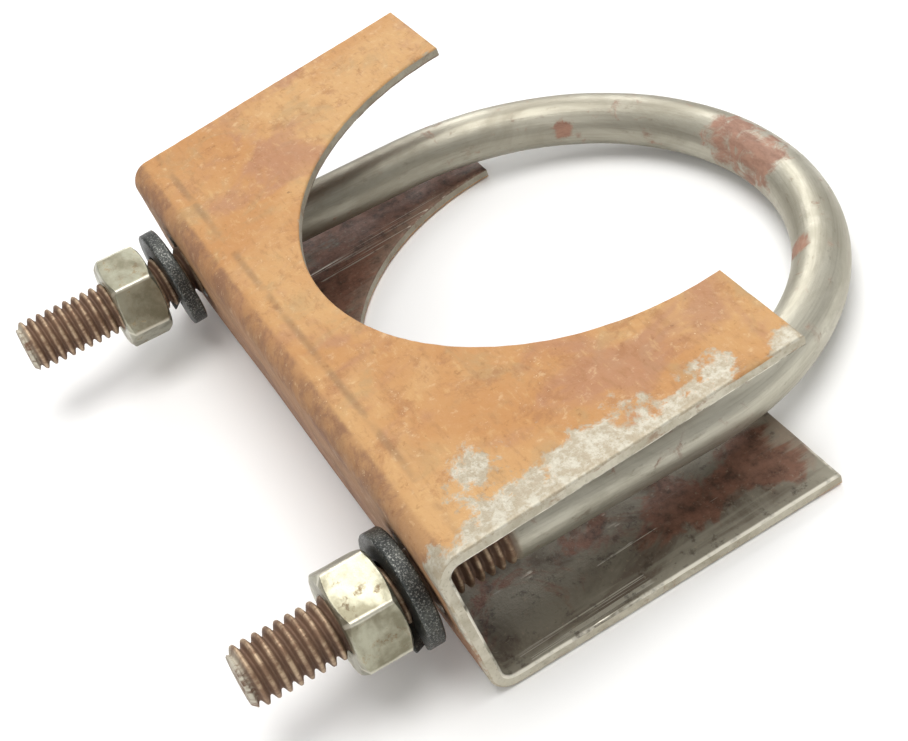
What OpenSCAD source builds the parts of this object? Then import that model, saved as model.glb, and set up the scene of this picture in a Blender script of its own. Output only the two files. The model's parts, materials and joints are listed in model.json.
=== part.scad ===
// Exhaust U-bolt clamp: a U-bolt, a pressed channel saddle, two split lock washers and two hex nuts.
// The frame: X runs along the saddle, Y from the nuts towards the bend of the U-bolt, Z is up.
// The origin is on the axis of the pipe seat, half-way up the saddle's web.
// The saddle lies on its lower flange and the loose U-bolt droops in its holes.

/* [U-bolt] */
// Diameter of the rod and major diameter of its thread (5/16 in - 18)
rod_d = 7.94; // [6:0.01:8.5]
// Distance between the axes of the two legs
leg_spacing = 78.8; // [74:0.1:84]
// Length of straight leg from the web's mid-plane to the start of the bend
leg_inner_len = 37.6; // [30:0.1:45]
// Length of the right leg from the web's mid-plane out to its threaded tip
right_leg_len = 25.6; // [22:0.1:40]
// Length of the left leg from the web's mid-plane out to its threaded tip
left_leg_len = 26.9; // [22:0.1:40]
// Length of the chamfer on each threaded tip
tip_chamfer = 0.9; // [0.3:0.1:1.5]
// Droop of the U-bolt's bend below the horizontal
droop_angle = 5.1; // [3:0.05:6]
// Skew of the U-bolt seen from above
skew_angle = 1.45; // [0:0.05:1.5]
// Drop of the loose legs below the centres of their holes
leg_drop = 0.7; // [0:0.05:0.8]
// Shift of the loose legs along the saddle
leg_shift = 0.25; // [0:0.05:0.3]

/* [Saddle] */
// Length of the saddle at its web
saddle_len = 102.8; // [100:0.1:120]
// Height of the web over the outer faces
web_h = 24; // [22:0.1:28]
// Thickness of the sheet
sheet_t = 1.7; // [1.5:0.1:2]
// Inner radius of the two bends of the sheet
bend_r = 1.5; // [1:0.1:2]
// Depth of the flanges from the web's outer face to the tips of the arms
flange_depth = 48.3; // [46:0.1:52]
// Extra length that each arm gains from the web to its tip
arm_flare = 1.2; // [0:0.1:2]
// Radius of the pipe seat
seat_r = 36.7; // [34:0.1:38]
// Distance from the web's outer face to the axis of the pipe seat
seat_depth = 47.5; // [46:0.1:50]
// Diameter of the two leg holes
hole_d = 10.4; // [10.4:0.1:11]
// Outward splay of the lower flange, which makes the web lean back
lower_splay = 2.7; // [0:0.1:3.5]
// Inward closing of the upper flange
upper_closing = 0.6; // [0:0.1:1.5]

/* [Nuts and washers] */
// Width of a nut across its flats
nut_af = 12.7; // [12:0.1:14]
// Height of a nut
nut_h = 6.75; // [5:0.05:7.5]
// Radial running clearance between a nut's bore and the thread
nut_gap = 0.05; // [0.02:0.01:0.1]
// Outer diameter of a lock washer
washer_od = 15.5; // [13:0.1:15.6]
// Inner diameter of a lock washer
washer_id = 8.7; // [8.6:0.1:9.2]
// Thickness of a lock washer
washer_t = 2; // [1.2:0.1:2.4]
// Width of the split in a lock washer
split_w = 1.1; // [0.5:0.1:2]
// Slant of the split
split_slant = 35; // [0:1:45]
// Distance from the web's mid-plane to the inner face of the right nut
right_nut_y = 6.5; // [6.5:0.1:10]
// Distance from the web's mid-plane to the inner face of the left nut
left_nut_y = 6; // [6:0.1:10]
// Turn of the right nut about its leg
right_nut_turn = 41; // [0:1:60]
// Turn of the left nut about its leg
left_nut_turn = 47; // [0:1:60]
// Distance from the web's mid-plane to the inner face of the right washer
right_washer_y = 3.6; // [3.4:0.1:3.6]
// Distance from the web's mid-plane to the inner face of the left washer
left_washer_y = 1.3; // [1.2:0.1:3]
// Tilt of the loose left washer towards the web
left_washer_tilt = 5; // [0:0.5:6]
// Turn of the right washer's split about its leg
right_split_turn = -60; // [-180:5:180]
// Turn of the left washer's split about its leg
left_split_turn = -110; // [-180:5:180]

/* [Hidden] */
$fn = 96;
// Overrun of cutting shapes past the faces they cut
cut = 1;
leg_x = leg_spacing / 2;
bend_outer_r = bend_r + sheet_t;
blank_len = saddle_len + 2 * arm_flare + 2 * cut;
// Flat steps that make up each bend of the sheet
bend_steps = 12;
// The lower flange is level after the web leans back, and its underside is at -web_h / 2
flange_rise = bend_outer_r * (cos(lower_splay) + sin(lower_splay) - 1);
seat_axis_z = (web_h / 2 + flange_rise - seat_depth * sin(lower_splay)) / cos(lower_splay);
web_y = seat_axis_z * sin(lower_splay) - seat_depth * cos(lower_splay);
nut_corner_r = nut_af / sqrt(3);
nut_face_r = nut_af / 2 - 0.2;
nut_chamfer = (nut_corner_r - nut_face_r) * tan(30);
nut_countersink = 0.5;

// Web's own frame: the corner of the web's outer face is the origin and the sheet starts at y = 0
module in_web_frame() {
    translate([0, web_y, -web_h / 2 - flange_rise])
        rotate([lower_splay, 0, 0])
            children();
}

// U-bolt's own frame: legs along Y, origin midway between them in the web's mid-plane.
// The loose legs lie low in their holes.
module in_bolt_frame() {
    in_web_frame()
        translate([leg_shift, sheet_t / 2, web_h / 2 - leg_drop])
            rotate([-droop_angle - lower_splay, 0, 0])
                rotate([0, 0, skew_angle])
                    children();
}

// Places children on a leg, side 1 or -1, with their Z axis pointing out along the leg to its tip
module on_leg(side, distance, turn) {
    in_bolt_frame()
        translate([side * leg_x, -distance, 0])
            rotate([90, 0, 0])
                rotate([0, 0, turn])
                    children();
}

// One straight leg with a chamfered tip
module leg(side, outer_len) {
    on_leg(side, -leg_inner_len, 0)
        cylinder(d = rod_d, h = leg_inner_len + outer_len - tip_chamfer);
    on_leg(side, outer_len - tip_chamfer, 0)
        cylinder(r1 = rod_d / 2, r2 = rod_d / 2 - tip_chamfer, h = tip_chamfer);
}

module u_bolt() {
    color("darkkhaki") {
        leg(1, right_leg_len);
        leg(-1, left_leg_len);
        in_bolt_frame()
            translate([0, leg_inner_len, 0])
                rotate_extrude(angle = 180)
                    translate([leg_x, 0])
                        circle(d = rod_d);
    }
}

// Points of an arc about [y, z] from one angle to another, both ends included
function arc(y, z, r, from, to) = [
    for (i = [0 : bend_steps])
        let (a = from + (to - from) * i / bend_steps)
            [y + r * cos(a), z + r * sin(a)]
];

// Tip of a flange's face: it leaves its bend at the given angle and runs square to the bend's radius
function flange_tip(y, z, r, angle, turn) = [
    y + r * cos(angle) + flange_depth * cos(angle + turn),
    z + r * sin(angle) + flange_depth * sin(angle + turn)
];

// The channel as bent from sheet, before its outline is trimmed
module bent_channel() {
    low_z = bend_outer_r;
    high_z = web_h - bend_outer_r;
    low_end = 270 - lower_splay;
    high_end = 90 - upper_closing;
    rotate([90, 0, 90])
        linear_extrude(height = blank_len, center = true)
            polygon(concat(
                arc(bend_outer_r, low_z, bend_outer_r, 180, low_end),
                [flange_tip(bend_outer_r, low_z, bend_outer_r, low_end, 90)],
                [flange_tip(bend_outer_r, low_z, bend_r, low_end, 90)],
                arc(bend_outer_r, low_z, bend_r, low_end, 180),
                arc(bend_outer_r, high_z, bend_r, 180, high_end),
                [flange_tip(bend_outer_r, high_z, bend_r, high_end, -90)],
                [flange_tip(bend_outer_r, high_z, bend_outer_r, high_end, -90)],
                arc(bend_outer_r, high_z, bend_outer_r, high_end, 180)
            ));
}

// Outline of the saddle seen from above, with arms that flare towards their tips
module trim_outline() {
    half = saddle_len / 2;
    tip = half + arm_flare;
    translate([0, 0, -2 * web_h])
        linear_extrude(height = 5 * web_h)
            polygon([
                [-half, -cut], [half, -cut], [half, 0],
                [tip, flange_depth], [-tip, flange_depth], [-half, 0]
            ]);
}

module saddle() {
    color("peru")
        in_web_frame()
            difference() {
                intersection() {
                    bent_channel();
                    trim_outline();
                }
                translate([0, seat_depth, -2 * web_h])
                    cylinder(r = seat_r, h = 5 * web_h);
                for (side = [-1, 1])
                    translate([side * leg_x, -cut, web_h / 2])
                        rotate([-90, 0, 0])
                            cylinder(d = hole_d, h = sheet_t + 2 * cut);
            }
}

// Split lock washer standing on z = 0, its slanted split towards +X
module lock_washer() {
    color("darkslategray")
        difference() {
            cylinder(d = washer_od, h = washer_t);
            translate([0, 0, -cut])
                cylinder(d = washer_id, h = washer_t + 2 * cut);
            translate([washer_od / 2, 0, washer_t / 2])
                rotate([split_slant, 0, 0])
                    cube([washer_od, split_w, 4 * washer_t], center = true);
        }
}

// Hexagon nut standing on z = 0, chamfered on both faces and countersunk at both ends of its bore
module hex_nut() {
    bore_r = rod_d / 2 + nut_gap;
    color("darkseagreen")
        difference() {
            intersection() {
                cylinder(r = nut_corner_r, h = nut_h, $fn = 6);
                rotate_extrude()
                    polygon([
                        [0, 0], [nut_face_r, 0], [nut_corner_r, nut_chamfer],
                        [nut_corner_r, nut_h - nut_chamfer], [nut_face_r, nut_h], [0, nut_h]
                    ]);
            }
            translate([0, 0, -cut])
                cylinder(r = bore_r, h = nut_h + 2 * cut);
            translate([0, 0, -nut_countersink])
                cylinder(r1 = bore_r + 2 * nut_countersink, r2 = bore_r, h = 2 * nut_countersink);
            translate([0, 0, nut_h - nut_countersink])
                cylinder(r1 = bore_r, r2 = bore_r + 2 * nut_countersink, h = 2 * nut_countersink);
        }
}

module right_washer() {
    on_leg(1, right_washer_y, right_split_turn)
        lock_washer();
}

// The left washer tips about its own middle, so that its lower part leans towards the web
module left_washer() {
    on_leg(-1, left_washer_y + washer_t / 2, 0)
        rotate([left_washer_tilt, 0, 0])
            translate([0, 0, -washer_t / 2])
                rotate([0, 0, left_split_turn])
                    lock_washer();
}

module right_nut() {
    on_leg(1, right_nut_y, right_nut_turn)
        hex_nut();
}

module left_nut() {
    on_leg(-1, left_nut_y, left_nut_turn)
        hex_nut();
}

u_bolt();
saddle();
right_washer();
left_washer();
right_nut();
left_nut();
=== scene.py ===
"""Exhaust U-bolt clamp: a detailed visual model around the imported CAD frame, in metres."""
import json
from math import acos, atan, cos, pi, radians, sin, sqrt, tan

import bmesh
import bpy
from mathutils import Matrix, Vector, noise

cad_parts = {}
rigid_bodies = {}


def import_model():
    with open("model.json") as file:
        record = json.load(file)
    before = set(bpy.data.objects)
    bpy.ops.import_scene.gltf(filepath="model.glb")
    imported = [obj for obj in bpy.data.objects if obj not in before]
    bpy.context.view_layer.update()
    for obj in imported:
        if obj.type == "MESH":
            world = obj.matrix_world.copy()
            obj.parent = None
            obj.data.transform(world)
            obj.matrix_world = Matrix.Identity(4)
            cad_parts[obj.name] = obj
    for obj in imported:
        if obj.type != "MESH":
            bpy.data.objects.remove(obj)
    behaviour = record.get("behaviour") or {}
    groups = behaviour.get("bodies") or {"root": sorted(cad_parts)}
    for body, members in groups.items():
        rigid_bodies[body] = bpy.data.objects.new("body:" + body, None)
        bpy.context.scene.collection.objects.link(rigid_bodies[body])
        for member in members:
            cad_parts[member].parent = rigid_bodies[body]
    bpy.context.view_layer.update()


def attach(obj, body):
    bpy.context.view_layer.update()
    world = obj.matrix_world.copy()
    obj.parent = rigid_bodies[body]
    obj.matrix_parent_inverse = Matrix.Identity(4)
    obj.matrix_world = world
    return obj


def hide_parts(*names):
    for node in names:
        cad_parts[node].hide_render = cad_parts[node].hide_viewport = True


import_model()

MM = 0.001

# ---- sizes shared with the CAD model
ROD_R = 3.97 * MM
LEG_X = 39.4 * MM
LEG_IN = 37.6 * MM
LEG_OUT = {"right": 25.6 * MM, "left": 26.9 * MM}
TIP_CHAMFER = 0.9 * MM
DROOP = radians(5.1)
SKEW = radians(1.45)
LEG_DROP = 0.7 * MM
LEG_SHIFT = 0.25 * MM

SADDLE_HALF = 51.4 * MM
WEB_H = 24.0 * MM
SHEET_T = 1.7 * MM
BEND_R = 1.5 * MM
FLANGE_DEPTH = 48.3 * MM
ARM_FLARE = 1.2 * MM
SEAT_R = 36.7 * MM
SEAT_DEPTH = 47.5 * MM
HOLE_R = 5.2 * MM
LOWER_SPLAY = radians(2.7)
UPPER_CLOSING = radians(0.6)

NUT_AF = 12.7 * MM
NUT_H = 6.75 * MM
NUT_FACE_R = 6.15 * MM
NUT_AT = {"right": 6.5 * MM, "left": 6.0 * MM}
NUT_TURN = {"right": radians(41), "left": radians(47)}
WASHER_R = 7.75 * MM
WASHER_BORE_R = 4.35 * MM
WASHER_TILT = {"right": 0.0, "left": radians(5)}
SPLIT_W = 1.1 * MM
SPLIT_SLANT = radians(35)
SPLIT_TURN = {"right": radians(-60), "left": radians(-110)}
SIDE = {"right": 1, "left": -1}

# The sprung washers stand thicker than the CAD's flat rings, and the right one nearly reaches its nut
WASHER_T = 2.6 * MM
WASHER_AT = {"right": 3.3 * MM, "left": 1.5 * MM}

# Thread of 18 turns to the inch, and how far it reaches inside the web
PITCH = 25.4 * MM / 18
THREAD_IN = 10.0 * MM
THREAD_DEPTH = 0.61 * PITCH

# ---- frames of the web and of the U-bolt
BEND_OUTER_R = BEND_R + SHEET_T
FLANGE_RISE = BEND_OUTER_R * (cos(LOWER_SPLAY) + sin(LOWER_SPLAY) - 1)
SEAT_AXIS_Z = (WEB_H / 2 + FLANGE_RISE - SEAT_DEPTH * sin(LOWER_SPLAY)) / cos(LOWER_SPLAY)
WEB_Y = SEAT_AXIS_Z * sin(LOWER_SPLAY) - SEAT_DEPTH * cos(LOWER_SPLAY)
# The floor lies just under the saddle's underside, which waves a little
FLOOR_GAP = 0.1 * MM
FLOOR_Z = -WEB_H / 2 - FLOOR_GAP

WEB_FRAME = Matrix.Translation((0, WEB_Y, -WEB_H / 2 - FLANGE_RISE)) @ Matrix.Rotation(LOWER_SPLAY, 4, "X")
BOLT_FRAME = (
    WEB_FRAME
    @ Matrix.Translation((LEG_SHIFT, SHEET_T / 2, WEB_H / 2 - LEG_DROP))
    @ Matrix.Rotation(-DROOP - LOWER_SPLAY, 4, "X")
    @ Matrix.Rotation(SKEW, 4, "Z")
)


def leg_frame(side):
    """Frame of one leg: Z runs out along the leg from the web's mid-plane, X is the saddle's X."""
    return BOLT_FRAME @ Matrix.Translation((SIDE[side] * LEG_X, 0, 0)) @ Matrix.Rotation(pi / 2, 4, "X")


# ---- small helpers
# Vertices closer than this are welded
WELD = 1e-7


def linspace(a, b, count):
    return [a + (b - a) * i / (count - 1) for i in range(count)]


def smoothstep(a, b, x):
    t = min(1.0, max(0.0, (x - a) / (b - a)))
    return t * t * (3 - 2 * t)


def rough(x, y, z, size, seed=0.0):
    """Smooth noise from -1 to 1 with features of the given size."""
    return noise.noise(Vector((x / size + seed, y / size - seed, z / size + 2 * seed)))


def mesh_object(name, verts, faces, matrix=None):
    mesh = bpy.data.meshes.new(name)
    mesh.from_pydata([tuple(v) for v in verts], [], faces)
    if matrix is not None:
        mesh.transform(matrix)
    obj = bpy.data.objects.new(name, mesh)
    bpy.context.scene.collection.objects.link(obj)
    return obj


def clean(obj, sharp_degrees):
    """Welds doubled vertices, turns faces outwards and shades smooth except at sharp edges."""
    bm = bmesh.new()
    bm.from_mesh(obj.data)
    bmesh.ops.remove_doubles(bm, verts=bm.verts, dist=WELD)
    bmesh.ops.dissolve_degenerate(bm, edges=bm.edges, dist=WELD / 10)
    bmesh.ops.recalc_face_normals(bm, faces=bm.faces)
    bm.to_mesh(obj.data)
    bm.free()
    obj.data.polygons.foreach_set("use_smooth", [True] * len(obj.data.polygons))
    obj.data.set_sharp_from_angle(angle=radians(sharp_degrees))


def float_attribute(obj, name, values):
    layer = obj.data.attributes.new(name, "FLOAT", "POINT")
    layer.data.foreach_set("value", values)


def vector_attribute(obj, name, vectors):
    layer = obj.data.attributes.new(name, "FLOAT_VECTOR", "POINT")
    layer.data.foreach_set("vector", [c for v in vectors for c in v])


# ---- U-bolt
ROD_SIDES = 72
ROWS_PER_PITCH = 14
BEND_ROWS = 170
SHANK_ROW = 1.4 * MM
# How far the rod's surface stays inside its nominal size
ROD_UNDERSIZE = 0.02 * MM
# Where the thread's flat root ends and its flat crest begins, as shares of half a pitch
THREAD_ROOT = 0.10
THREAD_CREST = 0.86
THREAD_FULLNESS = 0.85
RUN_OUT = 1.5 * PITCH
NICK_DEPTH = 0.07 * MM
NICK_SIZE = 1.1 * MM
# Flattening of the rod across its bend, and the height and number of its faint waves
BEND_SQUASH = 0.06 * MM
BEND_WAVE = 0.05 * MM
BEND_WAVES = 9
# Rings of the sheared end face, as shares of its radius
TIP_RINGS = [0.75, 0.4]
TIP_DISH = 0.07 * MM
TIP_UNEVEN = 0.05 * MM
TIP_UNEVEN_SIZE = 1.5 * MM
FACE_UNEVEN_SIZE = 1.6 * MM
# Stretch before the end of a leg over which its steel turns bright
TIP_BRIGHT_FROM = 1.3 * MM
TIP_BRIGHT_TO = 0.3 * MM
# Crest and tip wear of the end faces
FACE_CREST = 0.75
FACE_TIP = 0.7


def thread_height(z, angle):
    """Height of the thread over its root, 0 to 1, on a right-hand thread about +Z."""
    phase = (z / PITCH - angle / (2 * pi)) % 1.0
    flank = abs(phase - 0.5) * 2
    return smoothstep(THREAD_ROOT, THREAD_CREST, flank) ** THREAD_FULLNESS


def rod_radius(z, angle, leg_out):
    """Radius of a leg at distance z out from the web: shank, run-out, thread and chamfered tip."""
    x, y = cos(angle) * ROD_R, sin(angle) * ROD_R
    threaded = smoothstep(-THREAD_IN, -THREAD_IN + RUN_OUT, z)
    depth = THREAD_DEPTH * (1 - thread_height(z, angle))
    nick = NICK_DEPTH * max(0.0, rough(x, y, z, NICK_SIZE, seed=7.0))
    radius = ROD_R - ROD_UNDERSIZE - threaded * (depth + nick)
    chamfer = ROD_R - TIP_CHAMFER + (leg_out - z)
    return min(radius, chamfer + TIP_UNEVEN * rough(x, y, 0, TIP_UNEVEN_SIZE, seed=3.0))


def bend_radius(turn, angle):
    """Radius of the rod at one turn of its bend, a little squashed and faintly wavy."""
    squash = BEND_SQUASH * sin(turn) * cos(angle) ** 2
    wave = abs(BEND_WAVE * sin(turn * BEND_WAVES)) * sin(angle) ** 2
    return ROD_R - ROD_UNDERSIZE - squash - wave


def tip_share(z, leg_out):
    """1 at the end of a leg, 0 where its steel is no longer bright."""
    return smoothstep(leg_out - TIP_BRIGHT_FROM, leg_out - TIP_BRIGHT_TO, z)


def threaded_share(distance, bend_length):
    """1 where the rod is threaded, 0 on its smooth part."""
    z = max(distance, -2 * LEG_IN - bend_length - distance)
    return smoothstep(-THREAD_IN, -THREAD_IN + PITCH, z)


def leg_rows(leg_out):
    """Distances from the web's mid-plane at which a leg has a ring of vertices, from tip to bend."""
    thread_rows = int((leg_out + THREAD_IN + PITCH) / PITCH * ROWS_PER_PITCH)
    rows = [leg_out - i * PITCH / ROWS_PER_PITCH for i in range(thread_rows)]
    shank = LEG_IN + rows[-1]
    count = int(shank / SHANK_ROW)
    return rows + [rows[-1] - shank * (i + 1) / (count + 1) for i in range(count)]


def build_u_bolt():
    """The rod as rings of vertices from the right tip round the bend to the left tip."""
    verts, crest, rodmap, rings, tip = [], [], [], [], []

    def ring(centre, normal, radius_at, distance, flip=False):
        ids = []
        for k in range(ROD_SIDES):
            angle = 2 * pi * k / ROD_SIDES
            radius = radius_at(pi - angle if flip else angle)
            ids.append(len(verts))
            verts.append(centre + normal * (radius * cos(angle)) + Vector((0, 0, radius * sin(angle))))
            crest.append(min(1.0, max(0.0, 1 - (ROD_R - radius) / THREAD_DEPTH)))
            rodmap.append((ROD_R * cos(angle), ROD_R * sin(angle), distance))
        rings.append(ids)

    bend_length = pi * LEG_X
    right, left = LEG_OUT["right"], LEG_OUT["left"]
    for z in leg_rows(right):
        ring(Vector((LEG_X, -z, 0)), Vector((1, 0, 0)), lambda a: rod_radius(z, a, right), z)
        tip.append(tip_share(z, right))
    for turn in linspace(0, pi, BEND_ROWS):
        normal = Vector((cos(turn), sin(turn), 0))
        centre = Vector((0, LEG_IN, 0)) + normal * LEG_X
        ring(centre, normal, lambda a: bend_radius(turn, a), -LEG_IN - turn * LEG_X)
        tip.append(0.0)
    for z in reversed(leg_rows(left)):
        centre = Vector((-LEG_X, -z, 0))
        distance = -2 * LEG_IN - bend_length - z
        ring(centre, Vector((-1, 0, 0)), lambda a: rod_radius(z, a, left), distance, flip=True)
        tip.append(tip_share(z, left))
    tip = [value for value in tip for _ in range(ROD_SIDES)]

    faces = []
    for here, there in zip(rings, rings[1:]):
        for k in range(ROD_SIDES):
            j = (k + 1) % ROD_SIDES
            faces.append((here[k], there[k], there[j], here[j]))

    def cap(last, x, leg_out):
        """Closes a leg with a slightly dished, sheared end face."""
        centre = Vector((x, -leg_out, 0))
        rim = list(last)
        for step, share in enumerate(TIP_RINGS):
            inner = []
            for _ in rim:
                v = centre + (verts[last[len(inner)]] - centre) * share
                dent = TIP_UNEVEN * rough(v.x, v.z, 0, FACE_UNEVEN_SIZE, seed=5.0)
                inner.append(len(verts))
                verts.append(Vector((v.x, -leg_out + TIP_DISH * (step + 1) + dent, v.z)))
                crest.append(FACE_CREST)
                tip.append(FACE_TIP)
                rodmap.append((v.x, v.z, leg_out))
            for k in range(ROD_SIDES):
                j = (k + 1) % ROD_SIDES
                faces.append((rim[k], rim[j], inner[j], inner[k]))
            rim = inner
        faces.append(tuple(rim))

    cap(rings[0], LEG_X, right)
    cap(rings[-1], -LEG_X, left)
    obj = mesh_object("u_bolt_rod", verts, faces, BOLT_FRAME)
    float_attribute(obj, "crest", crest)
    float_attribute(obj, "tip", tip)
    float_attribute(obj, "threaded", [threaded_share(m[2], bend_length) for m in rodmap])
    vector_attribute(obj, "rodmap", rodmap)
    clean(obj, sharp_degrees=60)
    return obj


# ---- saddle
EDGE_ROUND = 0.34 * MM
# Rows next to a sheared edge, as shares of its rounding
EDGE_STEPS = [0.0, 0.03, 0.1, 0.25, 0.5, 1.0]
COLUMNS_MIDDLE = 52
COLUMNS_SIDE = 44
SIDE_START = 1.2 * MM
ROWS_ACROSS = 24
BEND_DIVISIONS = 11
WEB_ROWS = 18
# Height and length of the sheet's slight waves
SHEET_WAVE = 0.12 * MM
SHEET_WAVE_SIZE = 24 * MM
# Unevenness of the sheared edges, and how far it reaches from them
BURR = 0.06 * MM
BURR_SIZE = 1.3 * MM
BURR_REACH = 2.5 * EDGE_ROUND
# Material slots of the sheet's two faces and of its cut edges
OUTER, INNER, CUT = 0, 1, 2
# A punched hole's lip: depth from the face and growth of the radius
HOLE_LIP = [
    (-1.5 * MM, 0.9 * MM), (-0.25 * MM, 0.42 * MM), (0.0, 0.3 * MM), (0.12 * MM, 0.14 * MM), (0.35 * MM, 0.0),
]
HOLE_SIDES = 96
SADDLE_SHARP = 40
# Depth at which the web attribute starts to fade into the flanges
WEB_FADE = 0.2 * MM


def half_width(y):
    return SADDLE_HALF + ARM_FLARE * max(0.0, y) / FLANGE_DEPTH


def edge_drop(distance):
    """How far a face has rounded off at this distance from a sheared edge."""
    inside = min(EDGE_ROUND, max(0.0, distance))
    return EDGE_ROUND - sqrt(EDGE_ROUND**2 - (EDGE_ROUND - inside) ** 2)


def flange_end(upper):
    """(angle of the bend at the flange, z of the bend's centre, turn towards the tip)."""
    if upper:
        return radians(90) - UPPER_CLOSING, WEB_H - BEND_OUTER_R, -pi / 2
    return radians(270) - LOWER_SPLAY, BEND_OUTER_R, pi / 2


def flange_start_y(upper):
    return BEND_OUTER_R * (1 + cos(flange_end(upper)[0]))


def flange_point(upper, y):
    """(y, z, normal y, normal z) on the outer face of a flange at depth y, in the web's frame."""
    angle, centre_z, turn = flange_end(upper)
    run = (y - flange_start_y(upper)) / cos(angle + turn)
    z = centre_z + BEND_OUTER_R * sin(angle) + run * sin(angle + turn)
    return y, z, cos(angle), sin(angle)


def bend_strip(upper):
    """Rows of (y, z, normal y, normal z) round a bend of the sheet, from the web to the flange."""
    angle, centre_z, _ = flange_end(upper)
    turns = [(cos(a), sin(a)) for a in linspace(pi, angle, BEND_DIVISIONS)]
    return [(BEND_OUTER_R * (1 + c), centre_z + BEND_OUTER_R * s, c, s) for c, s in turns]


def edge_distance(x, y, on_flange):
    """Distance in plan from the nearest sheared edge of the sheet."""
    side = half_width(y) - abs(x)
    if not on_flange:
        return side
    return min(side, abs(sqrt(x * x + (y - SEAT_DEPTH) ** 2) - SEAT_R), FLANGE_DEPTH - y)


def column_runs(upper):
    """Distances along the outside of half a flange, from the middle of its bend to the arm's tip."""
    start = flange_start_y(upper)
    half = half_width(start)
    side_length = FLANGE_DEPTH - start
    grade = [s * EDGE_ROUND for s in EDGE_STEPS]
    middle = linspace(0, half - 3 * EDGE_ROUND, COLUMNS_MIDDLE) + [half - g for g in reversed(grade)]
    side = linspace(SIDE_START, side_length - 3 * EDGE_ROUND, COLUMNS_SIDE)
    side += [side_length - g for g in reversed(grade)]
    return middle, [half + s for s in side]


def build_saddle():
    """The pressed channel: a quad grid over its outline, offset to both faces and closed at its edges."""
    verts, faces, kinds, cache = [], [], [], {}

    def place(x, y, z, ny, nz, distance, face):
        key = (round(x / WELD), round(y / WELD), round(z / WELD), face)
        if key not in cache:
            drop = edge_drop(distance)
            depth = drop if face == OUTER else SHEET_T - drop
            wave = SHEET_WAVE * rough(x, y, z, SHEET_WAVE_SIZE, seed=3.1)
            near = 1 - smoothstep(0, BURR_REACH, distance)
            depth -= wave + BURR * near * rough(x, y, z, BURR_SIZE, seed=1.7)
            cache[key] = len(verts)
            verts.append(Vector((x, y - ny * depth, z - nz * depth)))
        return cache[key]

    def add_quad(ids, kind):
        corners = list(dict.fromkeys(ids))
        if len(corners) > 2:
            faces.append(tuple(corners))
            kinds.append(kind)

    def add_sheet(points):
        for face in (OUTER, INNER):
            ids = [[place(*p, face) for p in row] for row in points]
            for here, there in zip(ids, ids[1:]):
                for k in range(len(here) - 1):
                    add_quad([here[k], there[k], there[k + 1], here[k + 1]], face)

    def add_wall(points):
        outer = [place(*p, OUTER) for p in points]
        inner = [place(*p, INNER) for p in points]
        for k in range(len(points) - 1):
            add_quad([outer[k], inner[k], inner[k + 1], outer[k + 1]], CUT)

    tip_angle = acos((SEAT_DEPTH - FLANGE_DEPTH) / SEAT_R)
    for upper in (True, False):
        start = flange_start_y(upper)
        half = half_width(start)
        middle, side = column_runs(upper)
        full = side[-1]
        for sign in (1, -1):
            grid = []
            for run in middle + side:
                y = start + max(0.0, run - half)
                outer_x, outer_y = (run, start) if run <= half else (half_width(y), y)
                angle = tip_angle * run / full
                arc_x, arc_y = SEAT_R * sin(angle), SEAT_DEPTH - SEAT_R * cos(angle)
                length = sqrt((outer_x - arc_x) ** 2 + (outer_y - arc_y) ** 2)
                grade = [s * EDGE_ROUND / length for s in EDGE_STEPS]
                rest = linspace(3 * grade[-1], 1 - 3 * grade[-1], ROWS_ACROSS)
                row = []
                for share in grade + rest + [1 - g for g in reversed(grade)]:
                    x = arc_x + (outer_x - arc_x) * share
                    y = arc_y + (outer_y - arc_y) * share
                    row.append((sign * x, *flange_point(upper, y), edge_distance(x, y, True)))
                grid.append(row)
            add_sheet(grid)
            add_wall([row[0] for row in grid])
            add_wall([row[-1] for row in grid[len(middle) - 1:]])
            add_wall(grid[-1])

    web_shares = [m / half_width(flange_start_y(True)) for m in column_runs(True)[0]]
    web_rows = linspace(BEND_OUTER_R, WEB_H - BEND_OUTER_R, WEB_ROWS)
    web_strip = [(0.0, z, -1.0, 0.0) for z in web_rows]
    for strip in (bend_strip(False), web_strip, bend_strip(True)):
        for sign in (1, -1):
            grid = []
            for y, z, ny, nz in strip:
                half = half_width(y)
                grid.append([(sign * s * half, y, z, ny, nz, half * (1 - s)) for s in web_shares])
            add_sheet(grid)
            add_wall([row[-1] for row in grid])

    obj = mesh_object("saddle_channel", verts, faces)
    obj.data.polygons.foreach_set("material_index", kinds)
    clean(obj, SADDLE_SHARP)
    return obj


def hole_cutter(side, materials):
    """A solid in the shape of a punched hole, flared a little at both faces of the web."""
    profile = HOLE_LIP + [(SHEET_T - y, grow) for y, grow in reversed(HOLE_LIP)]
    verts, faces = [], []
    for y, grow in profile:
        for k in range(HOLE_SIDES):
            a = 2 * pi * k / HOLE_SIDES
            r = HOLE_R + grow
            verts.append((SIDE[side] * LEG_X + r * cos(a), y, WEB_H / 2 + r * sin(a)))
    for i in range(len(profile) - 1):
        here, there = i * HOLE_SIDES, (i + 1) * HOLE_SIDES
        for k in range(HOLE_SIDES):
            j = (k + 1) % HOLE_SIDES
            faces.append((here + k, here + j, there + j, there + k))
    faces.append(tuple(range(HOLE_SIDES)))
    faces.append(tuple(reversed(range(len(verts) - HOLE_SIDES, len(verts)))))
    cutter = mesh_object("cutter_" + side, verts, faces)
    clean(cutter, SADDLE_SHARP)
    for material in materials:
        cutter.data.materials.append(material)
    cutter.data.polygons.foreach_set("material_index", [CUT] * len(cutter.data.polygons))
    return cutter


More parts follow.
